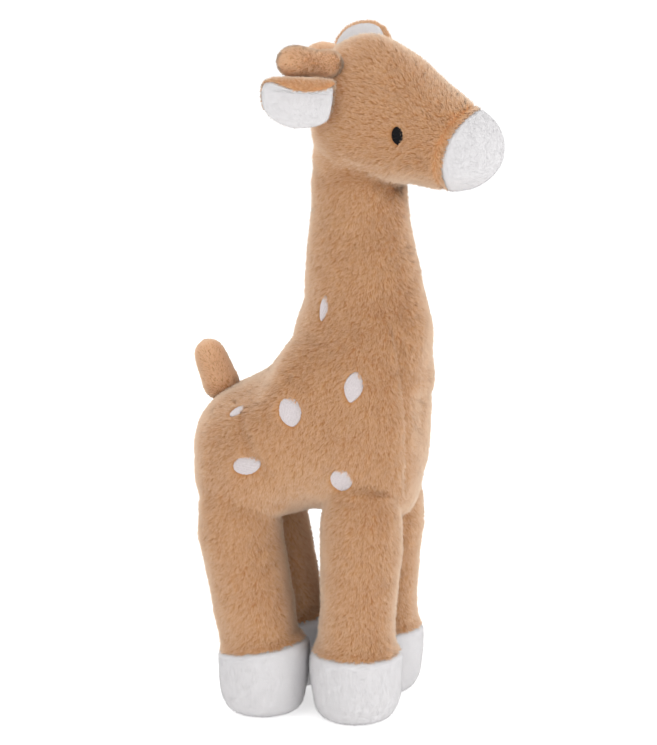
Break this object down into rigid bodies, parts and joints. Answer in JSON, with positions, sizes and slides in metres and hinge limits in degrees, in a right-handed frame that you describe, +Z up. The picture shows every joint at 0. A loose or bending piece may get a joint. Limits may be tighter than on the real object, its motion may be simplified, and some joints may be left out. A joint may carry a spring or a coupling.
{
  "type": "plush giraffe",
  "caption": "Soft standing toy giraffe with a stuffed torso, a tall neck that bends, a nodding head, floppy ears, soft horns, a stub tail, legs with white hooves and stitched white spots.",
  "frame": {"origin": "on the ground, under the middle of the toy", "axes": "+X towards the nose, +Y towards the animal's left, +Z up"},
  "size_m": [0.1734, 0.1095, 0.3724],
  "materials": {
    "tan_plush": "short tan plush with a soft fuzzy edge",
    "white_plush": "short dense white plush",
    "white_thread": "white fill stitching",
    "black_thread": "black satin stitching",
    "stuffing": "white fibre filling"
  },
  "bodies": {
    "torso": {"torso_skin": "tan_plush", "torso_stuffing": "stuffing", "back_spot_left": "white_thread", "back_spot_right": "white_thread", "rump_spot_left": "white_thread", "rump_spot_right": "white_thread", "haunch_spot_left": "white_thread", "haunch_spot_right": "white_thread", "chest_spot_left": "white_thread", "chest_spot_right": "white_thread"},
    "tail": {"tail_skin": "tan_plush", "tail_stuffing": "stuffing"},
    "leg_front_left": {"leg_skin_front_left": "tan_plush", "hoof_cap_front_left": "white_plush", "leg_stuffing_front_left": "stuffing"},
    "leg_front_right": {"leg_skin_front_right": "tan_plush", "hoof_cap_front_right": "white_plush", "leg_stuffing_front_right": "stuffing"},
    "leg_hind_left": {"leg_skin_hind_left": "tan_plush", "hoof_cap_hind_left": "white_plush", "leg_stuffing_hind_left": "stuffing"},
    "leg_hind_right": {"leg_skin_hind_right": "tan_plush", "hoof_cap_hind_right": "white_plush", "leg_stuffing_hind_right": "stuffing"},
    "neck": {"neck_skin": "tan_plush", "neck_stuffing": "stuffing", "shoulder_spot_left": "white_thread", "shoulder_spot_right": "white_thread", "neck_spot_left": "white_thread", "neck_spot_right": "white_thread"},
    "head": {"head_skin": "tan_plush", "muzzle_cap": "white_plush", "head_stuffing": "stuffing", "eye_left": "black_thread", "eye_right": "black_thread"},
    "ear_left": {"ear_back_left": "tan_plush", "ear_lining_left": "white_plush"},
    "ear_right": {"ear_back_right": "tan_plush", "ear_lining_right": "white_plush"},
    "horn_left": {"horn_skin_left": "tan_plush", "horn_stuffing_left": "stuffing"},
    "horn_right": {"horn_skin_right": "tan_plush", "horn_stuffing_right": "stuffing"}
  },
  "joints": [
    {"name": "neck_bend", "type": "hinge", "parent": "torso", "child": "neck", "pos_m": [0.008, 0, 0.212], "axis": [0, 1, 0], "range_deg": [-10, 10], "stiffness_Nm_per_rad": 1.5},
    {"name": "head_nod", "type": "hinge", "parent": "neck", "child": "head", "pos_m": [0.005, 0, 0.29], "axis": [0, 1, 0], "range_deg": [-12, 12], "stiffness_Nm_per_rad": 1},
    {"name": "ear_flap_left", "type": "hinge", "parent": "head", "child": "ear_left", "pos_m": [0.0005, 0.035, 0.3395], "axis": [-0.975, -0.0718, -0.2102], "range_deg": [0, 35], "stiffness_Nm_per_rad": 0.01},
    {"name": "ear_flap_right", "type": "hinge", "parent": "head", "child": "ear_right", "pos_m": [0.0005, -0.035, 0.3395], "axis": [0.1004, -0.0751, 0.9921], "range_deg": [-3, 30], "stiffness_Nm_per_rad": 0.01},
    {"name": "horn_flex_left", "type": "hinge", "parent": "head", "child": "horn_left", "pos_m": [-0.0045, 0.0245, 0.355], "axis": [0.3312, 0.9436, 0], "range_deg": [0, 20], "stiffness_Nm_per_rad": 0.03},
    {"name": "horn_flex_right", "type": "hinge", "parent": "head", "child": "horn_right", "pos_m": [-0.0045, -0.0245, 0.355], "axis": [-0.6866, 0.727, 0], "range_deg": [-4, 20], "stiffness_Nm_per_rad": 0.03},
    {"name": "tail_wag", "type": "hinge", "parent": "torso", "child": "tail", "pos_m": [-0.0735, 0, 0.177], "axis": [0.9272, 0, 0.3746], "range_deg": [-25, 25], "stiffness_Nm_per_rad": 0.03},
    {"name": "leg_swing_front_left", "type": "hinge", "parent": "torso", "child": "leg_front_left", "pos_m": [0.013, 0.026, 0.1], "axis": [0, -1, 0], "range_deg": [0, 25], "stiffness_Nm_per_rad": 0.5},
    {"name": "leg_swing_front_right", "type": "hinge", "parent": "torso", "child": "leg_front_right", "pos_m": [0.013, -0.026, 0.1], "axis": [0, -1, 0], "range_deg": [0, 25], "stiffness_Nm_per_rad": 0.5},
    {"name": "leg_swing_hind_left", "type": "hinge", "parent": "torso", "child": "leg_hind_left", "pos_m": [-0.0555, 0.026, 0.1], "axis": [0, 1, 0], "range_deg": [0, 25], "stiffness_Nm_per_rad": 0.5},
    {"name": "leg_swing_hind_right", "type": "hinge", "parent": "torso", "child": "leg_hind_right", "pos_m": [-0.0555, -0.026, 0.1], "axis": [0, 1, 0], "range_deg": [0, 25], "stiffness_Nm_per_rad": 0.5}
  ]
}
